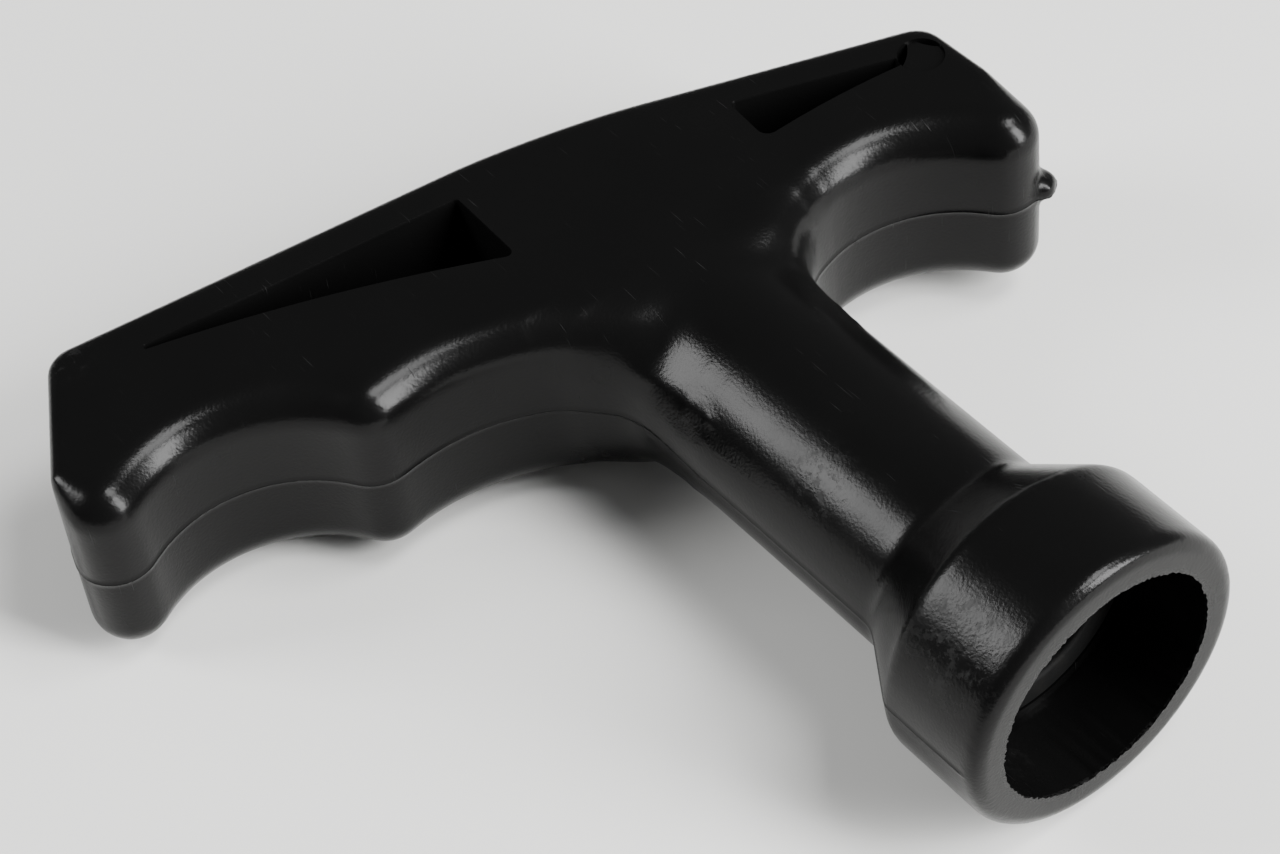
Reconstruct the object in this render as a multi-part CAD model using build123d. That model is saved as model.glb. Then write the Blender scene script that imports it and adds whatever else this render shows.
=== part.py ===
"""Moulded T pull handle for a boat's rope start or hand winch, with its rope anchor, plug and buffer.

Frame: the origin is the centre of the stem's open mouth. +Y runs up the stem into the grip,
+Z is up through the thickness, and X lies across the stem. All sizes are in millimetres.
The grip bar is skewed in its own plane, so its outline is drawn in bar axes: s along the bar,
t towards the palm, both measured from the point where the stem axis crosses the bar.
"""
import math
import os

from build123d import *

# Grip bar
bar_centre_y = 71.0
bar_skew = 15.0
bar_thickness = 21.8
palm_sweep = 6.6
crown_offset = -2.6
crown_height = 11.35
crown_radius = 90.0
long_reach = 56.3
short_reach = 38.4
palm_corner_radius = 3.0
palm_edge_radius = 1.2
finger_edge_radius = 4.0

# Finger side: depths are measured from the bar axis towards the mouth
long_flare = 4.5
long_shoulder_depth = 12.5
long_lobe_inset = 4.8
long_lobe_depth = 16.6
outer_groove_width = 25.5
outer_groove_depth = 10.7
ridge_depth = 16.4
inner_groove_depth = 14.0
short_flare = 4.9
short_shoulder_depth = 10.5
short_lobe_inset = 3.0
short_lobe_depth = 13.6
short_groove_depth = 7.7

# Root of the stem inside the bar
root_half_width = 9.5
root_front_y = 46.0
root_blend_radius = 5.0

# Stem and collar
stem_radius = 11.05
stem_end_y = 71.0
collar_radius = 16.0
collar_length = 11.8
collar_cone_end_y = 19.2
collar_lip_radius = 1.3

# Hollow of the stem
cup_radius = 12.5
cup_depth = 9.5
channel_radius = 8.2
web_front_y = 60.0
web_thickness = 5.0
web_hole_radius = 4.0
anchor_pocket_radius = 8.0
plug_seat_radius = 9.05
plug_seat_y = 77.4

# Core-outs in both flat faces
core_depth = 8.9
core_palm_wall = 4.1
core_inner_x = 13.5
core_inner_shift = 2.4
core_inner_front_depth = 4.3
core_short_front_depth = 1.0
core_long_tip_gap = 9.0
core_short_tip_gap = 5.0
core_tip_width = 0.9
core_front_bow = 1.0

# Marks left by the mould
ejector_radius = 2.4
ejector_depth = 0.4
ejector_from_palm = 4.9
gate_radius = 1.1
gate_length = 1.4
gate_depth = 9.5

# Rope anchor
rope_hole_radius = 2.6
anchor_radius = 7.6
anchor_head_length = 8.0
knot_recess_radius = 5.4
knot_recess_depth = 6.0
neck_clearance = 0.05
neck_overhang = 1.5
anchor_end_float = 0.3
anchor_edge_radius = 0.6

# Palm plug
plug_fit_clearance = 0.1
plug_skirt_length = 2.4
plug_hollow_radius = 6.2
plug_hollow_depth = 3.0

# Seat buffer, sunk flush in the floor of the cup
buffer_ledge = 1.0
buffer_thickness = 2.5
buffer_clearance = 0.05
buffer_bore_radius = 8.4

parts_folder = "parts"


def bar_place():
    """Place of the bar axes in the part's frame."""
    return Pos(0, bar_centre_y, 0) * Rotation(0, 0, -bar_skew)


def palm_line(s):
    """Height t of the straight palm arms above the bar axis at the place s."""
    return crown_height - abs(s - crown_offset) * math.tan(math.radians(palm_sweep))


def from_bar(s, t):
    """Point of the bar axes as a vector of the part's frame."""
    skew = math.radians(bar_skew)
    x = s * math.cos(skew) + t * math.sin(skew)
    y = bar_centre_y - s * math.sin(skew) + t * math.cos(skew)
    return Vector(x, y, 0)


def to_bar(point):
    """The s and t of a point of the part's frame."""
    skew = math.radians(bar_skew)
    dy = point.Y - bar_centre_y
    s = point.X * math.cos(skew) - dy * math.sin(skew)
    t = point.X * math.sin(skew) + dy * math.cos(skew)
    return s, t


def along_y(radius, start, end):
    """Round bar on the stem axis from one Y to another."""
    return Pos(0, start, 0) * Rotation(-90, 0, 0) * extrude(Circle(radius), end - start)


def upright_edge(solid, point):
    """The upright edge of an extruded solid that stands nearest to a plan point."""
    edges = [e for e in solid.edges() if abs(e.tangent_at(0.5).Z) > 0.99]
    return min(edges, key=lambda e: math.hypot(e.center().X - point.X, e.center().Y - point.Y))


def outline_corners():
    """Named corners of the bar's plan, in bar axes."""
    long_lobe_s = -(long_reach + long_flare - long_lobe_inset)
    short_lobe_s = short_reach + short_flare - short_lobe_inset
    return {
        "long_shoulder": (-(long_reach + long_flare), -long_shoulder_depth),
        "long_corner": (-long_reach, palm_line(-long_reach)),
        "crown": (crown_offset, crown_height),
        "short_corner": (short_reach, palm_line(short_reach)),
        "short_shoulder": (short_reach + short_flare, -short_shoulder_depth),
        "short_lobe": (short_lobe_s, -short_lobe_depth),
        "ridge": (long_lobe_s + outer_groove_width, -ridge_depth),
        "long_lobe": (long_lobe_s, -long_lobe_depth),
    }


def root_crossings():
    """Where the finger grooves run into the stem's root, in bar axes, inside the root."""
    inside = 0.85 * root_half_width
    front = bar_centre_y - root_front_y
    short_side = to_bar(Vector(inside, bar_centre_y - 0.86 * front, 0))
    long_side = to_bar(Vector(-inside, bar_centre_y - 0.86 * front, 0))
    return long_side, short_side


def bar_plan():
    """Plan of the bar with its finger grooves, in the part's frame."""
    corner = outline_corners()
    long_root, short_root = root_crossings()
    short_groove_s = (corner["short_lobe"][0] + short_root[0]) / 2 + 1.2
    inner_groove_s = (corner["ridge"][0] + long_root[0]) / 2 - 2.5
    outer_groove_s = (corner["long_lobe"][0] + corner["ridge"][0]) / 2
    palm_side = [corner[name] for name in (
        "long_shoulder", "long_corner", "crown", "short_corner", "short_shoulder", "short_lobe")]
    with BuildSketch() as plan:
        with BuildLine():
            Polyline(*palm_side)
            ThreePointArc(corner["short_lobe"], (short_groove_s, -short_groove_depth), short_root)
            Line(short_root, long_root)
            ThreePointArc(long_root, (inner_groove_s, -inner_groove_depth), corner["ridge"])
            outer_groove = (outer_groove_s, -outer_groove_depth)
            ThreePointArc(corner["ridge"], outer_groove, corner["long_lobe"])
            Line(corner["long_lobe"], corner["long_shoulder"])
        make_face()
    return bar_place() * plan.sketch


def root_plan():
    """Plan of the block in which the stem runs into the bar."""
    length = bar_centre_y - root_front_y
    return Pos(0, root_front_y + length / 2, 0) * Rectangle(2 * root_half_width, length)


def is_palm_edge(edge):
    """True for an outline edge on the palm side or on an end of the bar."""
    s, t = to_bar(edge.position_at(0.5))
    on_palm = t > crown_height / 3
    on_end = t > -long_shoulder_depth and (s < -long_reach or s > short_reach + 0.5)
    beside_lobe = s > short_reach and t < -short_shoulder_depth
    return on_palm or (on_end and not beside_lobe)


def bar_block(rounded=True):
    """The bar as one block, with its palm edges and the deeper finger edges rounded."""
    block = extrude(bar_plan() + root_plan(), bar_thickness / 2, both=True)
    sides = [e for e in block.edges() if abs(e.tangent_at(0.5).Z) > 0.99]
    joints = [e for e in sides if abs(abs(e.center().X) - root_half_width) < 0.01
              and e.center().Y > root_front_y + 0.5]
    block = fillet(joints, root_blend_radius)
    corner = outline_corners()
    ends = [upright_edge(block, from_bar(*corner[name])) for name in ("long_corner", "short_corner")]
    block = fillet(ends, palm_corner_radius)
    block = fillet(upright_edge(block, from_bar(*corner["crown"])), crown_radius)
    if not rounded:
        return block
    half = bar_thickness / 2
    rims = [e for e in block.edges() if abs(abs(e.center().Z) - half) < 0.01]
    block = fillet([e for e in rims if not is_palm_edge(e)], finger_edge_radius)
    rims = [e for e in block.edges() if abs(abs(e.position_at(0.5).Z) - half) < 0.01
            and is_palm_edge(e)]
    return fillet(rims, palm_edge_radius)


def stem_and_collar():
    """Outside of the stem, the cone and the collar as one turned solid."""
    with BuildSketch(Plane.XY) as profile:
        with BuildLine():
            Polyline(
                (0, 0), (collar_radius, 0), (collar_radius, collar_length),
                (stem_radius, collar_cone_end_y), (stem_radius, stem_end_y), (0, stem_end_y),
                close=True)
        make_face()
    turned = revolve(profile.sketch, Axis.Y)
    lip = [e for e in turned.edges() if abs(e.position_at(0).Y) < 0.01]
    return fillet(lip, collar_lip_radius)


def hollow():
    """Everything that is open along the stem axis, from the mouth to the palm."""
    beyond_palm = bar_centre_y + 2 * crown_height
    web_back_y = web_front_y + web_thickness
    space = along_y(cup_radius, -1, cup_depth)
    space += along_y(cup_radius - buffer_ledge, cup_depth - 1, cup_depth + buffer_thickness)
    space += along_y(channel_radius, cup_depth, web_front_y)
    space += along_y(web_hole_radius, web_front_y - 1, web_back_y + 1)
    space += along_y(anchor_pocket_radius, web_back_y, plug_seat_y + 1)
    space += along_y(plug_seat_radius, plug_seat_y, beyond_palm)
    return space


def core_plan(side):
    """Plan of one core-out, on the long arm for side -1 and on the short arm for side 1."""
    if side < 0:
        tip_s = -(long_reach - core_long_tip_gap)
        front_depth = core_inner_front_depth
    else:
        tip_s = short_reach - core_short_tip_gap
        front_depth = core_short_front_depth
    inner_s = side * core_inner_x + (core_inner_shift if side > 0 else 0)
    rear = (inner_s, palm_line(inner_s) - core_palm_wall)
    front_x = from_bar(*rear).X
    front_s = (front_x + front_depth * math.sin(math.radians(bar_skew))) / math.cos(
        math.radians(bar_skew))
    front = (front_s, -front_depth)
    tip_rear = (tip_s, palm_line(tip_s) - core_palm_wall)
    tip_front = (tip_s, tip_rear[1] - core_tip_width)
    middle = ((front[0] + tip_front[0]) / 2, (front[1] + tip_front[1]) / 2 + core_front_bow)
    with BuildSketch() as plan:
        with BuildLine():
            Line(rear, front)
            ThreePointArc(front, middle, tip_front)
            Line(tip_front, tip_rear)
            Line(tip_rear, rear)
        make_face()
    return bar_place() * plan.sketch


def core_outs():
    """The core-outs of both faces, one pair sunk from each face."""
    plans = core_plan(-1) + core_plan(1)
    floor_z = bar_thickness / 2 - core_depth
    upper = Pos(0, 0, floor_z) * extrude(plans, core_depth + 1)
    return upper + mirror(upper, Plane.XY)


def ejector_mark():
    """Sunk round mark of the ejector pin, at the tip of the short arm's core-out."""
    s = short_reach - core_short_tip_gap + ejector_radius
    centre = from_bar(s, palm_line(s) - ejector_from_palm)
    height = bar_thickness / 2 - ejector_depth
    return Pos(centre.X, centre.Y, height) * extrude(Circle(ejector_radius), 1)


def gate_nub():
    """Broken-off gate on the parting plane at the end of the short arm."""
    corner = outline_corners()
    run = short_shoulder_depth + corner["short_corner"][1]
    share = (gate_depth + corner["short_corner"][1]) / run
    root = from_bar(short_reach + short_flare * share - gate_length, -gate_depth)
    pin = Rotation(0, 90, 0) * extrude(Circle(gate_radius), 2 * gate_length)
    return Pos(root.X, root.Y, 0) * Rotation(0, 0, -bar_skew) * pin


def make_grip():
    """The one-piece moulding: bar, stem and collar, with all that is open in it."""
    grip = bar_block() + stem_and_collar() + gate_nub()
    return grip - hollow() - core_outs() - ejector_mark()


def make_rope_anchor():
    """Round anchor that holds the rope's knot and turns in the web of the grip."""
    seat_y = web_front_y + web_thickness + anchor_end_float
    head_end_y = seat_y + anchor_head_length
    head = along_y(anchor_radius, seat_y, head_end_y)
    rims = [e for e in head.edges() if e.geom_type == GeomType.CIRCLE]
    head = fillet(rims, anchor_edge_radius)
    neck = along_y(web_hole_radius - neck_clearance, web_front_y - neck_overhang, seat_y + 1)
    recess = along_y(knot_recess_radius, head_end_y - knot_recess_depth, head_end_y + 1)
    rope_hole = along_y(rope_hole_radius, web_front_y - neck_overhang - 1, head_end_y)
    return head + neck - recess - rope_hole


def make_palm_plug():
    """Plug that closes the anchor's pocket, cut flush with the palm of the bar."""
    head_start_y = plug_seat_y + plug_fit_clearance
    skirt_start_y = plug_seat_y - plug_skirt_length
    head = along_y(plug_seat_radius - plug_fit_clearance, head_start_y,
                   bar_centre_y + 2 * crown_height)
    head = head & bar_block(rounded=False)
    skirt = along_y(anchor_pocket_radius - plug_fit_clearance, skirt_start_y, head_start_y)
    inside = along_y(plug_hollow_radius, skirt_start_y - 1, skirt_start_y + plug_hollow_depth)
    return head + skirt - inside


def make_seat_buffer():
    """Rubber ring in the floor of the cup, on which the handle comes to rest on its rope guide."""
    back_y = cup_depth + buffer_thickness
    ring = along_y(cup_radius - buffer_ledge - buffer_clearance, cup_depth, back_y)
    return ring - along_y(buffer_bore_radius, cup_depth - 1, back_y + 1)


nodes = {
    "grip": make_grip,
    "rope_anchor": make_rope_anchor,
    "palm_plug": make_palm_plug,
    "seat_buffer": make_seat_buffer,
}

os.makedirs(parts_folder, exist_ok=True)
for name, make in nodes.items():
    solid = make()
    export_step(solid, os.path.join(parts_folder, name + ".step"))
    box = solid.bounding_box()
    print(name, "volume", round(solid.volume), "low", box.min, "high", box.max)
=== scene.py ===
"""Moulded rope pull handle: its visible model, built round the fixed frame.

The outside of the handle is one moulding, so it is modelled as one skin. A flat block, an edge
that rolls round the finger side and a turned stem are fused and softened where they meet. The
core-outs, the ejector mark and the hollow of the stem are then cut crisp into it.
Shapes are drawn in millimetres in the handle's own frame and scaled to metres when finished.
"""
import logging
import math
import random
from dataclasses import dataclass, field
from enum import Enum

import bmesh
import bpy
from mathutils import Matrix, Vector


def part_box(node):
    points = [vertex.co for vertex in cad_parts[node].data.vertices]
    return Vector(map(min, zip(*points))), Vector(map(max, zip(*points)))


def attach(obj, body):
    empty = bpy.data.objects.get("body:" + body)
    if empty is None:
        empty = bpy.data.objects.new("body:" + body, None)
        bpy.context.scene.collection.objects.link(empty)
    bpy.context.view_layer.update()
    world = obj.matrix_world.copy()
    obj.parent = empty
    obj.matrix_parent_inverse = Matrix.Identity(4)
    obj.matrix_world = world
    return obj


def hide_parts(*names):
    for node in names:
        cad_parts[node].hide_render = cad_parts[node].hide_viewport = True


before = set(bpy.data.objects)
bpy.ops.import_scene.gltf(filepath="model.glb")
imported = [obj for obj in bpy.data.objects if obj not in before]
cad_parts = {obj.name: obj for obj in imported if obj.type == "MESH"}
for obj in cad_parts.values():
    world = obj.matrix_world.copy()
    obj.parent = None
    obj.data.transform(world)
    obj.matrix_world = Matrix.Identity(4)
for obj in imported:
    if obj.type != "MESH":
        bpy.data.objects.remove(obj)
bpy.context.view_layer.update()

MM = 0.001
LOG = logging.getLogger("pull_handle")
Mesh = bmesh.types.BMesh
Object = bpy.types.Object
Socket = bpy.types.NodeSocket
Tree = bpy.types.NodeTree
# heights that differ by less than this, in millimetres, are the same
LEVEL = 1e-4


class Body(Enum):
    """Rigid bodies of the frame that carry the pieces made here."""

    HANDLE = "handle"
    ANCHOR = "anchor"


class Slot(Enum):
    """Material slots of the record for the pieces made here."""

    GRIP = "moulded_grip"
    ANCHOR = "anchor_nylon"
    BUFFER = "buffer_rubber"


class Face(Enum):
    """The two flat faces of the bar, by the sign of their normal."""

    UPPER = 1
    LOWER = -1


# ---------------------------------------------------------------- small geometry


def node_box(node: str) -> tuple[Vector, Vector]:
    """Box of a CAD node in millimetres.

    Args:
        node: Name of the node.

    Returns:
        Its lowest and its highest corner.
    """
    low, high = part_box(node)
    return low / MM, high / MM


def circle_centre(a: Vector, b: Vector, c: Vector) -> Vector:
    """Centre of the circle through three points of a plane.

    Args:
        a: First point.
        b: Second point.
        c: Third point.

    Returns:
        The centre, at the height of the first point.
    """
    ab = b - a
    ac = c - a
    cross = 2 * (ab.x * ac.y - ab.y * ac.x)
    x = (ac.y * ab.length_squared - ab.y * ac.length_squared) / cross
    y = (ab.x * ac.length_squared - ac.x * ab.length_squared) / cross
    return a + Vector((x, y, 0))


def turn_between(centre: Vector, start: Vector, end: Vector) -> float:
    """Signed angle about +Z from one point to another, the short way round.

    Args:
        centre: Centre of the turn.
        start: Where it starts.
        end: Where it ends.

    Returns:
        The angle in radians.
    """
    a = start - centre
    b = end - centre
    return math.atan2(a.x * b.y - a.y * b.x, a.x * b.x + a.y * b.y)


def at_angle(centre: Vector, radius: float, degrees: float) -> Vector:
    """Point of a circle round +Z.

    Args:
        centre: Centre of the circle.
        radius: Its radius.
        degrees: Angle from +X.

    Returns:
        The point.
    """
    angle = math.radians(degrees)
    return centre + radius * Vector((math.cos(angle), math.sin(angle), 0))


def lies_level(edge: bmesh.types.BMEdge) -> bool:
    """Tells whether both ends of an edge are at one height.

    Args:
        edge: The edge.

    Returns:
        True if they are.
    """
    return abs(edge.verts[0].co.z - edge.verts[1].co.z) < LEVEL


def close_holes(bm: Mesh) -> None:
    """Caps every open rim and turns all faces outwards.

    Args:
        bm: Mesh to close.
    """
    rims = [e for e in bm.edges if e.is_boundary]
    if rims:
        bmesh.ops.holes_fill(bm, edges=rims, sides=0)
    bmesh.ops.recalc_face_normals(bm, faces=bm.faces[:])


def round_corner(bm: Mesh, corner: Vector, radius: float, segments: int) -> None:
    """Rounds the corner of a flat outline that stands nearest to a point.

    Args:
        bm: Mesh that holds the outline as a wire or as one face.
        corner: Place of the corner.
        radius: Radius of the rounding.
        segments: Straight pieces in the rounding.
    """
    vert = min(bm.verts, key=lambda v: (v.co - corner).length)
    arms = [(e.other_vert(vert).co - vert.co).normalized() for e in vert.link_edges]
    reach = radius / math.tan(arms[0].angle(arms[1]) / 2)
    bmesh.ops.bevel(bm, geom=[vert], offset=reach, offset_type="OFFSET", segments=segments,
                    profile=0.5, affect="VERTICES", material=-1)


def round_rims(bm: Mesh, rims: list, radius: float) -> None:
    """Rounds the rim edges of a flat block.

    Args:
        bm: Mesh of the block.
        rims: Its rim edges.
        radius: Radius of the rounding.
    """
    bmesh.ops.bevel(bm, geom=rims, offset=radius, offset_type="OFFSET", segments=5, profile=0.5,
                    affect="EDGES", material=-1, clamp_overlap=True)


def add_mesh(bm: Mesh, other: Mesh) -> None:
    """Adds a mesh to another as its own shell, and frees it.

    Args:
        bm: Mesh that receives the shell.
        other: Mesh that is added and freed.
    """
    carrier = bpy.data.meshes.new("carrier")
    other.to_mesh(carrier)
    other.free()
    bm.from_mesh(carrier)
    bpy.data.meshes.remove(carrier)


def to_object(bm: Mesh, name: str) -> Object:
    """Makes an object of a mesh that is still in millimetres, and frees the mesh.

    Args:
        bm: The mesh.
        name: Name of the object.

    Returns:
        The new object, linked to the scene.
    """
    mesh = bpy.data.meshes.new(name)
    bm.to_mesh(mesh)
    bm.free()
    thing = bpy.data.objects.new(name, mesh)
    bpy.context.scene.collection.objects.link(thing)
    return thing


def apply_modifiers(thing: Object) -> None:
    """Replaces an object's mesh by what its modifiers make of it.

    Args:
        thing: The object.
    """
    seen = thing.evaluated_get(bpy.context.evaluated_depsgraph_get())
    mesh = bpy.data.meshes.new_from_object(seen)
    thing.modifiers.clear()
    old = thing.data
    thing.data = mesh
    mesh.name = thing.name
    bpy.data.meshes.remove(old)


def remove_object(thing: Object) -> None:
    """Deletes a helper object and its mesh.

    Args:
        thing: The object.
    """
    mesh = thing.data
    bpy.data.objects.remove(thing)
    bpy.data.meshes.remove(mesh)


def finish_mesh(thing: Object, sharp_angle: float = 38.0) -> None:
    """Scales a finished piece to metres and shades it smooth with crisp edges.

    Args:
        thing: Piece whose mesh is in millimetres.
        sharp_angle: Edges that turn by more than this, in degrees, stay crisp.
    """
    thing.data.transform(Matrix.Scale(MM, 4))
    thing.data.shade_smooth()
    thing.data.set_sharp_from_angle(angle=math.radians(sharp_angle))
    thing.data.update()


class Outline:
    """A flat outline that is drawn run by run, starting from one vertex."""

    def __init__(self, start: tuple[float, float]) -> None:
        """Starts the outline.

        Args:
            start: X and Y of its first point.
        """
        self.bm = bmesh.new()
        self.first = self.bm.verts.new((start[0], start[1], 0))
        self.tip = self.first

    def line_to(self, x: float, y: float) -> "Outline":
        """Draws a straight run.

        Args:
            x: X of the point where it ends.
            y: Y of that point.

        Returns:
            The outline.
        """
        made = bmesh.ops.extrude_vert_indiv(self.bm, verts=[self.tip])["verts"]
        made[0].co = Vector((x, y, 0))
        self.tip = made[0]
        return self

    def arc_to(self, centre: Vector, end: Vector, step: float) -> "Outline":
        """Draws an arc about a centre, the short way round, to a point.

        Args:
            centre: Centre of the arc.
            end: Where it ends.
            step: Longest straight piece of the arc.

        Returns:
            The outline.
        """
        angle = turn_between(centre, self.tip.co, end)
        length = abs(angle) * (end - centre).length
        steps = max(2, math.ceil(length / step))
        made = bmesh.ops.spin(self.bm, geom=[self.tip], cent=centre, axis=(0, 0, 1),
                              angle=angle, steps=steps)
        self.tip = [g for g in made["geom_last"] if isinstance(g, bmesh.types.BMVert)][0]
        return self

    def close(self) -> Mesh:
        """Joins the last point to the first and returns the mesh with its one face."""
        if (self.tip.co - self.first.co).length > 0.01:
            self.bm.edges.new((self.tip, self.first))
        bmesh.ops.remove_doubles(self.bm, verts=self.bm.verts[:], dist=0.005)
        bmesh.ops.contextual_create(self.bm, geom=self.bm.edges[:])
        return self.bm


def raise_plan(bm: Mesh, low: float, high: float) -> None:
    """Extrudes a flat plan between two heights.

    Args:
        bm: Mesh that holds the plan as one face.
        low: Height of the lower face.
        high: Height of the upper face.
    """
    bmesh.ops.translate(bm, verts=bm.verts[:], vec=(0, 0, low))
    made = bmesh.ops.extrude_face_region(bm, geom=bm.faces[:], use_keep_orig=True)["geom"]
    top = [g for g in made if isinstance(g, bmesh.types.BMVert)]
    bmesh.ops.translate(bm, verts=top, vec=(0, 0, high - low))
    bmesh.ops.recalc_face_normals(bm, faces=bm.faces[:])


def turn_profile(corners: list, rounded: list, steps: int) -> Mesh:
    """Turns an open profile, which starts and ends on the stem axis, about that axis.

    Args:
        corners: Radius and Y of each corner, from axis to axis.
        rounded: Index of a corner, its radius and its segments, for each rounding.
        steps: Straight pieces round the turn.

    Returns:
        The closed turned mesh.
    """
    outline = Outline(corners[0])
    for radius, y in corners[1:]:
        outline.line_to(radius, y)
    bm = outline.bm
    for index, radius, segments in rounded:
        round_corner(bm, Vector((*corners[index], 0)), radius, segments)
    bmesh.ops.spin(bm, geom=bm.verts[:] + bm.edges[:], cent=(0, 0, 0), axis=(0, 1, 0),
                   angle=math.tau, steps=steps, use_merge=True)
    bmesh.ops.remove_doubles(bm, verts=bm.verts[:], dist=0.001)
    bmesh.ops.recalc_face_normals(bm, faces=bm.faces[:])
    return bm


def turn_ring(corners: list, radii: dict, steps: int) -> Mesh:
    """Turns a closed profile, which stands clear of the stem axis, about that axis.

    Args:
        corners: Radius and Y of each corner, in order round the profile.
        radii: Radius of each rounding, by the index of its corner.
        steps: Straight pieces round the turn.

    Returns:
        The closed turned mesh.
    """
    outline = Outline(corners[0])
    for radius, y in corners[1:]:
        outline.line_to(radius, y)
    bm = outline.close()
    for index, radius in radii.items():
        round_corner(bm, Vector((*corners[index], 0)), radius, 5)
    bmesh.ops.delete(bm, geom=bm.faces[:], context="FACES_ONLY")
    bmesh.ops.spin(bm, geom=bm.verts[:] + bm.edges[:], cent=(0, 0, 0), axis=(0, 1, 0),
                   angle=math.tau, steps=steps, use_merge=True)
    bmesh.ops.recalc_face_normals(bm, faces=bm.faces[:])
    return bm


# ---------------------------------------------------------------- the moulding


@dataclass(frozen=True)
class BarAxes:
    """The bar stands skew to the stem: s runs along it and t runs towards the palm."""

    centre_y: float = 71.0
    skew: float = math.radians(15.0)

    def matrix(self) -> Matrix:
        """Place of the bar axes in the handle's frame.

        Returns:
            Matrix from bar axes to the handle's frame.
        """
        return Matrix.Translation((0, self.centre_y, 0)) @ Matrix.Rotation(-self.skew, 4, "Z")

    def to_bar(self, x: float, y: float) -> Vector:
        """Puts a point of the handle's frame in bar axes.

        Args:
            x: X of the point.
            y: Y of the point.

        Returns:
            The point in bar axes.
        """
        return self.matrix().inverted() @ Vector((x, y, 0))


@dataclass(frozen=True)
class RollingEdge:
    """The rounded finger edge: an upright bar with round ends that rolls along the flat's outline."""

    half_thickness: float
    radius: float = 4.0
    ring_steps: int = 40
    arc_step: float = 0.7

    def _pull_apart(self, bm: Mesh, verts: list, radius: float) -> None:
        """Pulls a round shape apart at mid height until it is as tall as the bar.

        Args:
            bm: Mesh that holds the shape.
            verts: Vertices of the shape.
            radius: Its radius.
        """
        rise = self.half_thickness - radius
        for side in (1, -1):
            half = [v for v in verts if v.co.z * side > LEVEL]
            bmesh.ops.translate(bm, verts=half, vec=(0, 0, side * rise))

    def _section(self, bm: Mesh, at: Vector, across: Vector) -> list:
        """Draws the upright section at a point.

        Args:
            bm: Mesh to draw in.
            at: Centre of the section.
            across: Direction of its width.

        Returns:
            Its face, edges and vertices.
        """
        up = Vector((0, 0, 1))
        turn = Matrix((across, up, across.cross(up))).transposed().to_4x4()
        made = bmesh.ops.create_circle(bm, cap_ends=True, segments=self.ring_steps,
                                       radius=self.radius, matrix=Matrix.Translation(at) @ turn)
        self._pull_apart(bm, made["verts"], self.radius)
        faces = made["verts"][0].link_faces[:]
        return faces + faces[0].edges[:] + made["verts"]

    def along_arc(self, bm: Mesh, centre: Vector, start: Vector, end: Vector) -> None:
        """Rolls the edge along an arc of the outline.

        Args:
            bm: Mesh to draw in.
            centre: Centre of the arc.
            start: Where the arc starts.
            end: Where it ends.
        """
        section = self._section(bm, start, (start - centre).normalized())
        angle = turn_between(centre, start, end)
        steps = math.ceil(abs(angle) * (start - centre).length / self.arc_step)
        bmesh.ops.spin(bm, geom=section, cent=centre, axis=(0, 0, 1), angle=angle, steps=steps)

    def along_line(self, bm: Mesh, start: Vector, end: Vector) -> None:
        """Rolls the edge along a straight run of the outline.

        Args:
            bm: Mesh to draw in.
            start: Where the run starts.
            end: Where it ends.
        """
        run = end - start
        across = Vector((run.y, -run.x, 0)).normalized()
        section = self._section(bm, start, across)
        made = bmesh.ops.extrude_face_region(bm, geom=section)["geom"]
        moved = [g for g in made if isinstance(g, bmesh.types.BMVert)]
        bmesh.ops.translate(bm, verts=moved, vec=run)

    def at_corner(self, bm: Mesh, at: Vector, radius: float) -> None:
        """Stands the upright round-ended bar at one point.

        Args:
            bm: Mesh to draw in.
            at: Centre of the bar.
            radius: Its radius.
        """
        made = bmesh.ops.create_uvsphere(bm, u_segments=32, v_segments=16, radius=radius,
                                         matrix=Matrix.Translation(at))
        self._pull_apart(bm, made["verts"], radius)

    def tapering(self, bm: Mesh, ends: list) -> None:
        """Fills the space between two corners whose radii differ.

        Args:
            bm: Mesh to add the filled space to.
            ends: Point and radius of each corner.
        """
        own = bmesh.new()
        for at, radius in ends:
            self.at_corner(own, at, radius)
        bmesh.ops.delete(own, geom=own.edges[:], context="EDGES_FACES")
        hull = bmesh.ops.convex_hull(own, input=own.verts[:])
        inside = set(hull["geom_interior"]) | set(hull["geom_unused"])
        bmesh.ops.delete(own, geom=[v for v in own.verts if v in inside], context="VERTS")
        add_mesh(bm, own)


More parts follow.
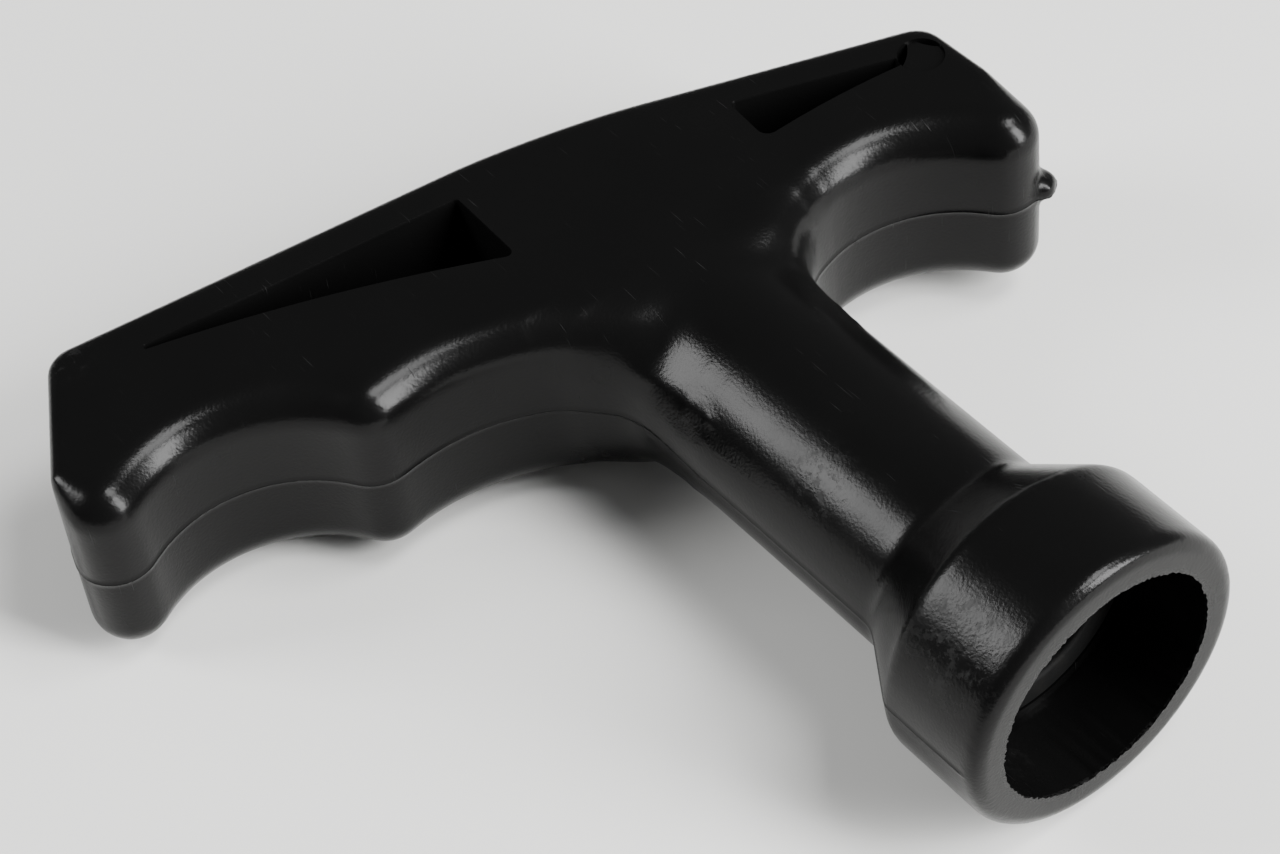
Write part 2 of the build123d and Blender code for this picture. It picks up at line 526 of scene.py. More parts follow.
@dataclass(frozen=True)
class CoreOut:
    """One core-out of the flat faces, in bar axes."""

    rear: tuple[float, float]
    front: tuple[float, float]
    tip_front: tuple[float, float]
    tip_rear: tuple[float, float]
    bow: float
    front_radius: float
    rear_radius: float = 0.7
    tip_radius: float = 0.35
    rim_break: float = 0.3

    def cutter(self, top: float, depth: float, face: Face) -> Mesh:
        """Solid that cuts the core-out, with a narrow broken rim.

        Args:
            top: Height of the flat above the mid plane.
            depth: Depth of the core-out below the flat.
            face: Face that it is sunk from.

        Returns:
            The closed cutter in bar axes.
        """
        front = Vector((*self.front, 0))
        tip = Vector((*self.tip_front, 0))
        middle = (front + tip) / 2 + Vector((0, self.bow, 0))
        outline = Outline(self.rear).line_to(*self.front)
        outline.arc_to(circle_centre(front, middle, tip), tip, 2.0)
        bm = outline.line_to(*self.tip_rear).close()
        corners = ((self.rear, self.rear_radius), (self.front, self.front_radius),
                   (self.tip_front, self.tip_radius), (self.tip_rear, self.tip_radius))
        for corner, radius in corners:
            round_corner(bm, Vector((*corner, 0)), radius, 6)
        bmesh.ops.translate(bm, verts=bm.verts[:], vec=(0, 0, top + self.rim_break))
        bmesh.ops.inset_region(bm, faces=bm.faces[:], thickness=self.rim_break,
                               use_even_offset=True, use_boundary=True)
        inner = max(bm.faces, key=lambda f: len(f.verts))
        bmesh.ops.translate(bm, verts=inner.verts[:], vec=(0, 0, -2 * self.rim_break))
        made = bmesh.ops.extrude_face_region(bm, geom=[inner])["geom"]
        floor = [g for g in made if isinstance(g, bmesh.types.BMVert)]
        bmesh.ops.translate(bm, verts=floor, vec=(0, 0, self.rim_break - depth))
        bmesh.ops.delete(bm, geom=[inner], context="FACES_ONLY")
        bmesh.ops.scale(bm, verts=bm.verts[:], vec=(1, 1, face.value))
        close_holes(bm)
        return bm


@dataclass
class GripMoulding:
    """The one-piece moulding: bar, stem and collar with all that is open in them."""

    axes: BarAxes = field(default_factory=BarAxes)
    half_thickness: float = 10.9
    # palm side
    crown_offset: float = -2.6
    crown_height: float = 11.35
    crown_radius: float = 90.0
    palm_sweep: float = math.radians(6.6)
    long_reach: float = 56.0
    long_flare: float = 5.1
    long_shoulder: float = 12.5
    short_reach: float = 38.4
    short_flare: float = 4.9
    short_shoulder: float = 10.5
    palm_corner_radius: float = 3.0
    palm_edge_radius: float = 1.2
    # outline of the flat on the finger side
    long_lobe: Vector = field(default_factory=lambda: Vector((-56.5, -12.1, 0)))
    outer_groove: Vector = field(default_factory=lambda: Vector((-43.4, -6.7, 0)))
    ridge: Vector = field(default_factory=lambda: Vector((-30.2, -12.1, 0)))
    inner_groove: Vector = field(default_factory=lambda: Vector((-19.3, -9.9, 0)))
    short_groove: Vector = field(default_factory=lambda: Vector((27.0, -3.75, 0)))
    short_lobe: Vector = field(default_factory=lambda: Vector((39.1, -8.3, 0)))
    root_y: float = 57.3
    root_left: float = -7.4
    root_right: float = 8.4
    long_edge_end: float = -9.8
    short_edge_end: float = -2.0
    # gusset at the root and gate stub on the short end
    gusset_half_thickness: float = 7.0
    gusset_edge_radius: float = 2.5
    gate_t: float = -10.0
    gate_chipping: float = 0.2
    # stem and collar
    stem_radius: float = 11.05
    collar_length: float = 11.8
    cone_end: float = 19.2
    lip_radius: float = 1.3
    stem_end: float = 53.0
    buried_start: float = 60.0
    buried_end: float = 68.0
    buried_by: float = 0.3
    # hollow
    cup_radius: float = 12.5
    channel_radius: float = 8.2
    web_hole_radius: float = 4.0
    web_front: float = 60.0
    web_back: float = 65.0
    pocket_radius: float = 8.0
    plug_seat: float = 77.4
    plug_seat_radius: float = 9.05
    core_depth: float = 8.9
    # flash of the mouth's ragged rim, everywhere and where it clumps
    flash: float = 0.16
    clumped_flash: float = 0.3
    # ejector mark in bar axes: its cutter reaches from below the flat to above it
    mark_centre: Vector = field(default_factory=lambda: Vector((35.8, 2.3, 0)))
    mark_radius: float = 2.4
    mark_cutter_height: float = 1.0
    mark_cutter_rise: float = 0.2
    slit_depth: float = 2.2
    # skin
    voxel: float = 0.42
    parting_half_width: float = 0.22
    parting_height: float = 0.09

    def palm_height(self, s: float) -> float:
        """Height of the straight palm arms above the bar axis.

        Args:
            s: Place along the bar.

        Returns:
            The height t.
        """
        return self.crown_height - abs(s - self.crown_offset) * math.tan(self.palm_sweep)

    def end_wall(self, side: int, t: float) -> float:
        """Place of an end wall, which leans.

        Args:
            side: The long end (-1) or the short end (1).
            t: Height across the bar.

        Returns:
            The place s along the bar.
        """
        reach, flare, shoulder = self.long_reach, self.long_flare, self.long_shoulder
        if side > 0:
            reach, flare, shoulder = self.short_reach, self.short_flare, self.short_shoulder
        top = self.palm_height(side * reach)
        return side * (reach + flare * (top - t) / (top + shoulder))

    def _block(self) -> Mesh:
        """Draws the flat block inside the finger edge, with its palm corners and edges rounded.

        Returns:
            The block in bar axes.
        """
        left = self.axes.to_bar(self.root_left, self.root_y)
        right = self.axes.to_bar(self.root_right, self.root_y)
        long_corner = Vector((-self.long_reach, self.palm_height(-self.long_reach), 0))
        short_corner = Vector((self.short_reach, self.palm_height(self.short_reach), 0))
        crown = Vector((self.crown_offset, self.crown_height, 0))
        outline = Outline(self.long_lobe.xy)
        outline.line_to(self.end_wall(-1, self.long_edge_end), self.long_edge_end)
        for corner in (long_corner, crown, short_corner):
            outline.line_to(corner.x, corner.y)
        outline.line_to(self.end_wall(1, self.short_edge_end), self.short_edge_end)
        outline.line_to(self.short_lobe.x, self.short_lobe.y)
        step = 1.0
        outline.arc_to(circle_centre(self.short_lobe, self.short_groove, right), right, step)
        outline.line_to(left.x, left.y)
        outline.arc_to(circle_centre(left, self.inner_groove, self.ridge), self.ridge, step)
        outline.arc_to(circle_centre(self.ridge, self.outer_groove, self.long_lobe),
                       self.long_lobe, step)
        bm = outline.close()
        round_corner(bm, long_corner, self.palm_corner_radius, 8)
        round_corner(bm, short_corner, self.palm_corner_radius, 8)
        round_corner(bm, crown, self.crown_radius, 24)
        raise_plan(bm, -self.half_thickness, self.half_thickness)
        round_rims(bm, [e for e in bm.edges if self._is_palm_rim(e)], self.palm_edge_radius)
        return bm

    def _is_palm_rim(self, edge: bmesh.types.BMEdge) -> bool:
        """Tells whether an edge of the block is a rim on the palm or on an end.

        Args:
            edge: Edge of the block.

        Returns:
            True if it is.
        """
        past_lobe = 0.6
        middle = (edge.verts[0].co + edge.verts[1].co) / 2
        on_end = middle.x < self.long_lobe.x - past_lobe and middle.y > self.long_edge_end
        return lies_level(edge) and (middle.y > self.short_edge_end or on_end)

    def _finger_edge(self, bm: Mesh) -> None:
        """Rolls the rounded edge along the finger side and round both lobes.

        Args:
            bm: Mesh of the bar, in bar axes.
        """
        edge = RollingEdge(self.half_thickness)
        left = self.axes.to_bar(self.root_left, self.root_y)
        right = self.axes.to_bar(self.root_right, self.root_y)
        runs = ((self.long_lobe, self.outer_groove, self.ridge),
                (self.ridge, self.inner_groove, left),
                (right, self.short_groove, self.short_lobe))
        for start, middle, end in runs:
            edge.along_arc(bm, circle_centre(start, middle, end), start, end)
        edge.along_line(bm, left, right)
        for corner in (self.long_lobe, self.ridge, left, right, self.short_lobe):
            edge.at_corner(bm, corner, edge.radius)
        small = self.palm_edge_radius
        long_end = Vector((self.end_wall(-1, self.long_edge_end) + small, self.long_edge_end, 0))
        short_end = Vector((self.end_wall(1, self.short_edge_end) - small, self.short_edge_end, 0))
        edge.tapering(bm, [(self.long_lobe, edge.radius), (long_end, small)])
        edge.tapering(bm, [(self.short_lobe, edge.radius), (short_end, small)])

    def _gate_stub(self, bm: Mesh) -> None:
        """Adds the broken-off gate on the parting plane of the short end.

        Args:
            bm: Mesh of the bar, in bar axes.
        """
        sunk = 0.3
        at = Vector((self.end_wall(1, self.gate_t) - sunk, self.gate_t, 0))
        dice = random.Random(4)
        for shift, radius in ((Vector((0, 0, 0)), 1.6), (Vector((-0.3, -1.1, 0.5)), 1.2),
                              (Vector((-0.3, 1.0, -0.5)), 1.1)):
            made = bmesh.ops.create_icosphere(bm, subdivisions=3, radius=radius,
                                              matrix=Matrix.Translation(at + shift))
            for vert in made["verts"]:
                vert.co += Vector([dice.uniform(-self.gate_chipping, self.gate_chipping)
                                   for _ in range(3)])

    def _root(self) -> Mesh:
        """Draws the gusset that carries the groove walls round into the stem.

        Returns:
            The gusset in the handle's frame.
        """
        outline = Outline((-15.0, 61.0)).line_to(-15.0, 58.8).line_to(-10.7, 54.0)
        outline.line_to(-9.4, 43.0).line_to(9.4, 43.0).line_to(10.7, 53.8).line_to(14.5, 57.4)
        bm = outline.line_to(14.5, 61.0).close()
        round_corner(bm, Vector((-10.7, 54.0, 0)), 7.0, 8)
        round_corner(bm, Vector((10.7, 53.8, 0)), 6.0, 8)
        raise_plan(bm, -self.gusset_half_thickness, self.gusset_half_thickness)
        round_rims(bm, [e for e in bm.edges if lies_level(e)], self.gusset_edge_radius)
        return bm

    def _stem(self) -> Mesh:
        """Turns the outside of the collar, the cone and the stem, whose end is buried in the bar.

        Returns:
            The turned mesh in the handle's frame.
        """
        collar_radius = node_box("grip")[1].z
        buried = self.half_thickness - self.buried_by
        corners = [(0, 0), (collar_radius, 0), (collar_radius, self.collar_length),
                   (self.stem_radius, self.cone_end), (self.stem_radius, self.stem_end),
                   (buried, self.buried_start), (buried, self.buried_end), (0, self.buried_end)]
        rounded = [(1, self.lip_radius, 8), (2, 1.0, 6), (3, 3.0, 8)]
        return turn_profile(corners, rounded, 160)

    def _hollow(self) -> Mesh:
        """Turns all that is open along the stem axis, with a ragged rim at the mouth.

        Returns:
            The closed cutter in the handle's frame.
        """
        clearance = 0.05
        before_mouth, past_palm = -2, 94
        rim_y, behind_rim = -0.12, 0.4
        buffer_low, buffer_high = node_box("seat_buffer")
        ledge_radius = buffer_high.x + clearance
        corners = [
            (0, before_mouth), (self.cup_radius, before_mouth), (self.cup_radius, rim_y),
            (self.cup_radius, behind_rim),
            (self.cup_radius, buffer_low.y), (ledge_radius, buffer_low.y),
            (ledge_radius, buffer_high.y), (self.channel_radius, buffer_high.y),
            (self.channel_radius, self.web_front), (self.web_hole_radius, self.web_front),
            (self.web_hole_radius, self.web_back), (self.pocket_radius, self.web_back),
            (self.pocket_radius, self.plug_seat), (self.plug_seat_radius, self.plug_seat),
            (self.plug_seat_radius, past_palm), (0, past_palm)]
        bm = turn_profile(corners, [], 240)
        dice = random.Random(11)
        for vert in bm.verts:
            if abs(vert.co.y - rim_y) < 1e-3:
                clump = 0.5 + 0.5 * math.sin(7 * math.atan2(vert.co.z, vert.co.x))
                flash = dice.uniform(0.0, self.flash + self.clumped_flash * clump)
                vert.co *= 1 - flash / self.cup_radius
                vert.co.y = rim_y
        return bm

    def _core_outs(self) -> list:
        """Draws the two core-outs of each face.

        Returns:
            Their four cutters in bar axes.
        """
        long_arm = CoreOut(rear=(-13.1, 6.0), front=(-10.7, -4.4), tip_front=(-47.4, 1.0),
                           tip_rear=(-47.3, 1.9), bow=1.0, front_radius=0.9)
        short_arm = CoreOut(rear=(15.7, 5.5), front=(16.9, -1.2), tip_front=(33.6, 1.8),
                            tip_rear=(33.5, 3.3), bow=0.4, front_radius=1.4)
        return [core.cutter(self.half_thickness, self.core_depth, face)
                for core in (long_arm, short_arm) for face in Face]

    def _ejector_mark(self) -> Mesh:
        """Draws the sunk disc of the ejector pin, with the two deep slits that its flash leaves.

        Returns:
            The cutter in bar axes.
        """
        centre = self.mark_centre
        radius = self.mark_radius
        top = self.half_thickness
        draft, step, over = 0.1, 0.2, 0.1
        at = centre + Vector((0, 0, top + self.mark_cutter_rise))
        bm = bmesh.new()
        bmesh.ops.create_cone(bm, cap_ends=True, segments=48, radius1=radius,
                              radius2=radius + draft, depth=self.mark_cutter_height,
                              matrix=Matrix.Translation(at))
        for start, end, width in ((12, 78, 0.55), (100, 190, 0.95)):
            a = at_angle(centre, radius, start)
            b = at_angle(centre, radius, end)
            middle = at_angle(centre, radius - width, (start + end) / 2)
            outline = Outline(a.xy)
            outline.arc_to(centre, b, step)
            outline.arc_to(circle_centre(a, middle, b), a, step)
            slit = outline.close()
            raise_plan(slit, top - self.slit_depth, top + over)
            add_mesh(bm, slit)
        return bm

    def _soften(self, bm: Mesh) -> None:
        """Evens the whole skin a little and the root of the stem a lot.

        Args:
            bm: Mesh of the skin.
        """
        root_y, root_half_width = 53.5, 8.0
        for reach, passes in ((math.inf, 3), (9.0, 30), (6.0, 45)):
            part = [v for v in bm.verts if abs(v.co.y - root_y) < reach
                    and abs(v.co.x) < root_half_width + reach]
            for _ in range(passes):
                bmesh.ops.smooth_vert(bm, verts=part, factor=0.5, use_axis_x=True,
                                      use_axis_y=True, use_axis_z=True)

    def _parting_line(self, bm: Mesh) -> None:
        """Raises the fine line where the two mould halves met.

        Args:
            bm: Mesh of the skin.
        """
        snap, least_sideways = 0.02, 0.5
        for height in (-self.parting_half_width, self.parting_half_width, 0.0):
            bmesh.ops.bisect_plane(bm, geom=bm.verts[:] + bm.edges[:] + bm.faces[:], dist=snap,
                                   plane_co=(0, 0, height), plane_no=(0, 0, 1))
        bm.normal_update()
        line = [v for v in bm.verts if abs(v.co.z) < LEVEL and v.co.y > self.lip_radius]
        moves = [Vector((v.normal.x, v.normal.y, 0)) for v in line]
        highest = node_box("grip")[1].y - 0.005
        for vert, move in zip(line, moves):
            if move.length > least_sideways:
                vert.co += self.parting_height * move.normalized()
                vert.co.y = min(vert.co.y, highest)

    def skin(self) -> Object:
        """Fuses the outside of the moulding into one even skin.

        Returns:
            The skin, still in millimetres.
        """
        bm = self._block()
        self._finger_edge(bm)
        self._gate_stub(bm)
        close_holes(bm)
        bmesh.ops.transform(bm, matrix=self.axes.matrix(), verts=bm.verts[:])
        add_mesh(bm, self._root())
        add_mesh(bm, self._stem())
        thing = to_object(bm, "grip_moulding")
        fuse = thing.modifiers.new("fuse", "REMESH")
        fuse.mode = "VOXEL"
        fuse.voxel_size = self.voxel
        apply_modifiers(thing)
        bm = bmesh.new()
        bm.from_mesh(thing.data)
        self._soften(bm)
        self._parting_line(bm)
        bm.to_mesh(thing.data)
        bm.free()
        return thing

    def build(self) -> Object:
        """Builds the moulding and cuts its openings.

        Returns:
            The finished piece, in metres.
        """
        thing = self.skin()
        tools = bmesh.new()
        for core in self._core_outs() + [self._ejector_mark()]:
            add_mesh(tools, core)
        bmesh.ops.transform(tools, matrix=self.axes.matrix(), verts=tools.verts[:])
        add_mesh(tools, self._hollow())
        cutters = to_object(tools, "cutters")
        cut = thing.modifiers.new("cut", "BOOLEAN")
        cut.operation = "DIFFERENCE"
        cut.solver = "EXACT"
        cut.use_self = True
        cut.object = cutters
        apply_modifiers(thing)
        remove_object(cutters)
        finish_mesh(thing)
        return thing


@dataclass
class RopeAnchor:
    """Turned nylon bush whose neck turns in the web and whose head holds the rope's knot."""

    hole_radius: float = 2.6
    neck_radius: float = 3.95
    recess_radius: float = 5.4
    recess_depth: float = 6.0
    head_length: float = 8.0

    def build(self) -> Object:
        """Turns the bush where the frame has it.

        Returns:
            The finished piece, in metres.
        """
        low, high = node_box("rope_anchor")
        shoulder = high.y - self.head_length
        recess = high.y - self.recess_depth
        corners = [(self.hole_radius, low.y), (self.neck_radius, low.y),
                   (self.neck_radius, shoulder), (high.x, shoulder), (high.x, high.y),
                   (self.recess_radius, high.y), (self.recess_radius, recess),
                   (self.hole_radius, recess)]
        bm = turn_ring(corners, {0: 0.7, 1: 0.3, 3: 0.6, 4: 0.6, 5: 0.4, 7: 0.5}, 96)
        thing = to_object(bm, "turned_rope_anchor")
        finish_mesh(thing)
        return thing


@dataclass
class SeatBuffer:
    """Moulded rubber ring in the floor of the cup."""

    bore_radius: float = 8.4
    edge_radius: float = 0.5

    def build(self) -> Object:
        """Turns the ring where the frame has it.

        Returns:
            The finished piece, in metres.
        """
        low, high = node_box("seat_buffer")
        corners = [(self.bore_radius, low.y), (high.x, low.y), (high.x, high.y),
                   (self.bore_radius, high.y)]
        bm = turn_ring(corners, dict.fromkeys(range(4), self.edge_radius), 128)
        thing = to_object(bm, "rubber_seat_buffer")
        finish_mesh(thing)
        return thing


# ---------------------------------------------------------------- finishes


def linear(code: str) -> tuple[float, float, float, float]:
    """Turns an sRGB hex colour to linear light.

    Args:
        code: The colour, as #rrggbb.

    Returns:
        Red, green, blue and an alpha of one.
    """
    channels = [int(code[i:i + 2], 16) / 255 for i in (1, 3, 5)]
    bent = [c / 12.92 if c <= 0.04045 else ((c + 0.055) / 1.055) ** 2.4 for c in channels]
    return (*bent, 1.0)


def add_node(tree: Tree, kind: str, settings: dict, links: dict) -> bpy.types.Node:
    """Adds a node with its settings and links.

    Args:
        tree: Tree to add it to.
        kind: Type name of the node.
        settings: Values by property name, or by input name or number.
        links: Output sockets by input name or number.

    Returns:
        The node.
    """
    node = tree.nodes.new(kind)
    for name, value in settings.items():
        if isinstance(name, str) and hasattr(node, name):
            setattr(node, name, value)
        else:
            node.inputs[name].default_value = value
    for name, socket in links.items():
        tree.links.new(socket, node.inputs[name])
    return node


def start_material(name: str) -> tuple:
    """Makes a material with an empty tree.

    Args:
        name: Name of the material.

    Returns:
        The material, its tree and the socket of places in the piece's own frame.
    """
    made = bpy.data.materials.new(name)
    made.use_nodes = True
    made.node_tree.nodes.clear()
    place = add_node(made.node_tree, "ShaderNodeTexCoord", {}, {}).outputs["Object"]
    return made, made.node_tree, place


def end_material(tree: Tree, settings: dict, links: dict) -> None:
    """Ends a material with its shader and its output.

    Args:
        tree: Tree of the material.
        settings: Values of the shader by input name.
        links: Output sockets by input name of the shader.
    """
    shader = add_node(tree, "ShaderNodeBsdfPrincipled", settings, links).outputs["BSDF"]
    add_node(tree, "ShaderNodeOutputMaterial", {}, {"Surface": shader})


def noise(tree: Tree, place: Socket, size_mm: float, **settings: float) -> Socket:
    """Adds cloudy noise.

    Args:
        tree: Tree to add it to.
        place: Socket of places.
        size_mm: Size of its clouds in millimetres.
        settings: Further values by input name.

    Returns:
        Its output.
    """
    return add_node(tree, "ShaderNodeTexNoise", {"Scale": 1 / (size_mm * MM), **settings},
                    {"Vector": place}).outputs["Fac"]


def ramp(tree: Tree, value: Socket, source: tuple, target: tuple = (0.0, 1.0),
         interpolation: str = "LINEAR") -> Socket:
    """Maps a span of a value to another span, and holds it at the ends.

    Args:
        tree: Tree to add it to.
        value: Socket of the value.
        source: The span that is mapped.
        target: What its ends become.
        interpolation: How it runs between them.

    Returns:
        The mapped value.
    """
    return add_node(tree, "ShaderNodeMapRange",
                    {"interpolation_type": interpolation, "From Min": source[0],
                     "From Max": source[1], "To Min": target[0], "To Max": target[1]},
                    {"Value": value}).outputs["Result"]


def combine(tree: Tree, operation: str, first: Socket, second: Socket) -> Socket:
    """Combines two values.

    Args:
        tree: Tree to add it to.
        operation: How they are combined.
        first: Socket of the first value.
        second: Socket of the second value.

    Returns:
        The result.
    """
    return add_node(tree, "ShaderNodeMath", {"operation": operation},
                    {0: first, 1: second}).outputs["Value"]


def blend(tree: Tree, factor: Socket, first: str, second: str) -> Socket:
    """Blends two colours.

    Args:
        tree: Tree to add it to.
        factor: Socket of the second colour's share.
        first: The first colour, as #rrggbb.
        second: The second colour, as #rrggbb.

    Returns:
        The blended colour.
    """
    return add_node(tree, "ShaderNodeMix",
                    {"data_type": "RGBA", 6: linear(first), 7: linear(second)},
                    {0: factor}).outputs[2]


def relief(tree: Tree, height: Socket, strength: float, depth_mm: float, under: dict) -> dict:
    """Adds a fine relief on top of another.

    Args:
        tree: Tree to add it to.
        height: Socket of the height.
        strength: Share of the relief that is used.
        depth_mm: Depth of the relief in millimetres.
        under: Link to the relief under it, or nothing.

    Returns:
        Link that gives the relief to a shader or to the next relief.
    """
    made = add_node(tree, "ShaderNodeBump", {"Strength": strength, "Distance": depth_mm * MM},
                    {"Height": height, **under})
    return {"Normal": made.outputs["Normal"]}


@dataclass(frozen=True)
class MouldedBlack:
    """Black glass-smooth nylon, injection moulded: deep gloss over a faint orange peel, handled."""

    colour: str = "#090909"
    rubbed_colour: str = "#4a4a4a"
    gloss: float = 0.17
    dull: float = 0.28
    sheen_level: float = 0.14
    mark_roughness: float = 0.22
    mark_paleness: float = 0.16
    mottle_mm: float = 9.0
    peel_mm: float = 3.0
    streak_mm: float = 1.4
    grain_mm: float = 0.32
    relief_mm: float = 0.03
    scratch_width_mm: float = 0.18
    scratch_length_mm: float = 5.0
    rim_radius: float = 12.45
    rim_width: float = 0.7
    # rubbed places: centre in millimetres and reach
    rubbed: tuple = (((-7.4, 30.0, 8.2), 5.0), ((-12.5, 6.0, 10.0), 8.0), ((-9.0, 7.0, -13.0), 6.0),
                     ((-52.0, 89.0, 10.9), 4.0), ((14.0, 8.0, 8.0), 5.0))
    # directions of the scratches, as turns in radians
    scratch_turns: tuple = ((0.3, 0.2, 0.5), (0.9, -0.4, 1.9), (-0.5, 0.7, 2.8))

    def material(self) -> bpy.types.Material:
        """Makes the material."""
        made, tree, place = start_material("moulded_black_nylon")
        mottle = noise(tree, place, self.mottle_mm, Detail=4.0)
        grain = noise(tree, place, self.grain_mm, Detail=2.0)
        peel = noise(tree, place, self.peel_mm, Detail=1.0)
        marks = combine(tree, "MAXIMUM", self._rubbed_mask(tree, place, grain),
                        self._scratches(tree, place, mottle))
        rough = ramp(tree, mottle, (0.3, 0.7), (self.gloss, self.dull))
        rough = add_node(tree, "ShaderNodeMath",
                         {"operation": "MULTIPLY_ADD", 1: self.mark_roughness},
                         {0: marks, 2: rough}).outputs["Value"]
        tone = add_node(tree, "ShaderNodeMath", {"operation": "MULTIPLY", 1: self.mark_paleness},
                        {0: marks}).outputs["Value"]
        surface = relief(tree, peel, 0.5, self.relief_mm, {})
        surface = relief(tree, grain, 0.7, self.relief_mm, surface)
        surface = relief(tree, marks, 0.4, -self.relief_mm, surface)
        end_material(tree, {"IOR": 1.5, "Specular IOR Level": self.sheen_level},
                     {"Base Color": blend(tree, tone, self.colour, self.rubbed_colour),
                      "Roughness": rough, **surface})
        return made

    def _rubbed_mask(self, tree: Tree, place: Socket, grain: Socket) -> Socket:
        """Marks the places that handling has rubbed dull, and the chipped rim.

        Args:
            tree: Tree of the material.
            place: Socket of places.
            grain: Socket of the grain.

        Returns:
            The mask.
        """
        streak = noise(tree, place, self.streak_mm, Detail=5.0, Roughness=0.7)
        streak = ramp(tree, streak, (0.5, 0.68))
        total = None
        for centre, reach in self.rubbed:
            away = add_node(tree, "ShaderNodeVectorMath",
                            {"operation": "DISTANCE", 1: tuple(c * MM for c in centre)},
                            {0: place}).outputs["Value"]
            near = ramp(tree, away, (0.2 * reach * MM, reach * MM), (1.0, 0.0), "SMOOTHSTEP")
            total = near if total is None else combine(tree, "MAXIMUM", total, near)
        worn = combine(tree, "MULTIPLY", total, streak)
        return combine(tree, "MAXIMUM", worn, self._chipped_rim(tree, place, grain))

    def _chipped_rim(self, tree: Tree, place: Socket, grain: Socket) -> Socket:
        """Marks the pale chipped ring round the mouth's inner edge.

        Args:
            tree: Tree of the material.
            place: Socket of places.
            grain: Socket of the grain.

        Returns:
            The mask.
        """
        flat = add_node(tree, "ShaderNodeVectorMath", {"operation": "MULTIPLY", 1: (1, 0, 1)},
                        {0: place}).outputs["Vector"]
        radius = add_node(tree, "ShaderNodeVectorMath", {"operation": "LENGTH"},
                          {0: flat}).outputs["Value"]
        near = ramp(tree, radius, (self.rim_radius * MM, (self.rim_radius + self.rim_width) * MM),
                    (1.0, 0.0))
        height = add_node(tree, "ShaderNodeSeparateXYZ", {}, {0: place}).outputs["Y"]
        front = ramp(tree, height, (0.15 * MM, 0.5 * MM), (1.0, 0.0))
        chips = ramp(tree, grain, (0.42, 0.6))
        return combine(tree, "MULTIPLY", combine(tree, "MULTIPLY", near, front), chips)

    def _scratches(self, tree: Tree, place: Socket, mottle: Socket) -> Socket:
        """Marks fine scratches that run a few ways and come and go.

        Args:
            tree: Tree of the material.
            place: Socket of places.
            mottle: Socket of the mottle, which says where they come and go.

        Returns:
            The mask.
        """
        along = 1 / (self.scratch_length_mm * MM)
        across = 1 / (self.scratch_width_mm * MM)
        total = None
        for turn in self.scratch_turns:
            spun = add_node(tree, "ShaderNodeMapping",
                            {"Rotation": turn, "Scale": (across, along, along)},
                            {"Vector": place}).outputs["Vector"]
            lines = add_node(tree, "ShaderNodeTexNoise", {"Scale": 1.0, "Detail": 1.0},
                             {"Vector": spun}).outputs["Fac"]
            lines = ramp(tree, lines, (0.76, 0.82))
            total = lines if total is None else combine(tree, "MAXIMUM", total, lines)
        return combine(tree, "MULTIPLY", total, ramp(tree, mottle, (0.45, 0.62)))


@dataclass(frozen=True)
class TurnedNylon:
    """Natural nylon, turned from rod: milky, satin, with the fine rings of the tool."""

    colour: str = "#cdc8b8"
    clouded_colour: str = "#b9b29e"
    cloud_mm: float = 4.0
    # length in which the wave of the rings turns by one radian
    ring_radian_mm: float = 0.5
    roughness: float = 0.42

    def material(self) -> bpy.types.Material:
        """Makes the material."""
        made, tree, place = start_material("turned_natural_nylon")
        # a wave texture turns by 20 radians in a length of one over its scale
        rings = add_node(tree, "ShaderNodeTexWave",
                         {"bands_direction": "Y", "Scale": 1 / (self.ring_radian_mm * MM) / 20,
                          "Distortion": 0.3}, {"Vector": place}).outputs["Fac"]
        cloud = noise(tree, place, self.cloud_mm, Detail=3.0)
        end_material(tree, {"Roughness": self.roughness, "IOR": 1.53, "Subsurface Weight": 0.2,
                            "Subsurface Scale": 1.5 * MM},
                     {"Base Color": blend(tree, cloud, self.colour, self.clouded_colour),
                      **relief(tree, rings, 0.4, 0.02, {})})
        return made


@dataclass(frozen=True)
class SoftRubber:
    """Black nitrile rubber, moulded against a blasted tool: dull, finely pebbled and dusty."""

    colour: str = "#080808"
    dust_colour: str = "#151412"
    dust_mm: float = 2.5
    pebble_mm: float = 0.3
    roughness: float = 0.72
    sheen_level: float = 0.15

    def material(self) -> bpy.types.Material:
        """Makes the material."""
        made, tree, place = start_material("black_nitrile_rubber")
        pebble = add_node(tree, "ShaderNodeTexVoronoi", {"Scale": 1 / (self.pebble_mm * MM)},
                          {"Vector": place}).outputs["Distance"]
        dust = ramp(tree, noise(tree, place, self.dust_mm, Detail=5.0), (0.5, 0.8))
        end_material(tree, {"Roughness": self.roughness, "IOR": 1.52,
                            "Specular IOR Level": self.sheen_level},
                     {"Base Color": blend(tree, dust, self.colour, self.dust_colour),
                      **relief(tree, pebble, 0.5, 0.03, {})})
        return made


def dress(thing: Object, material: bpy.types.Material) -> None:
    """Gives a piece one material all over.

    Args:
        thing: The piece.
        material: Its material.
    """
    thing.data.materials.clear()
    thing.data.materials.append(material)


# ---------------------------------------------------------------- studio


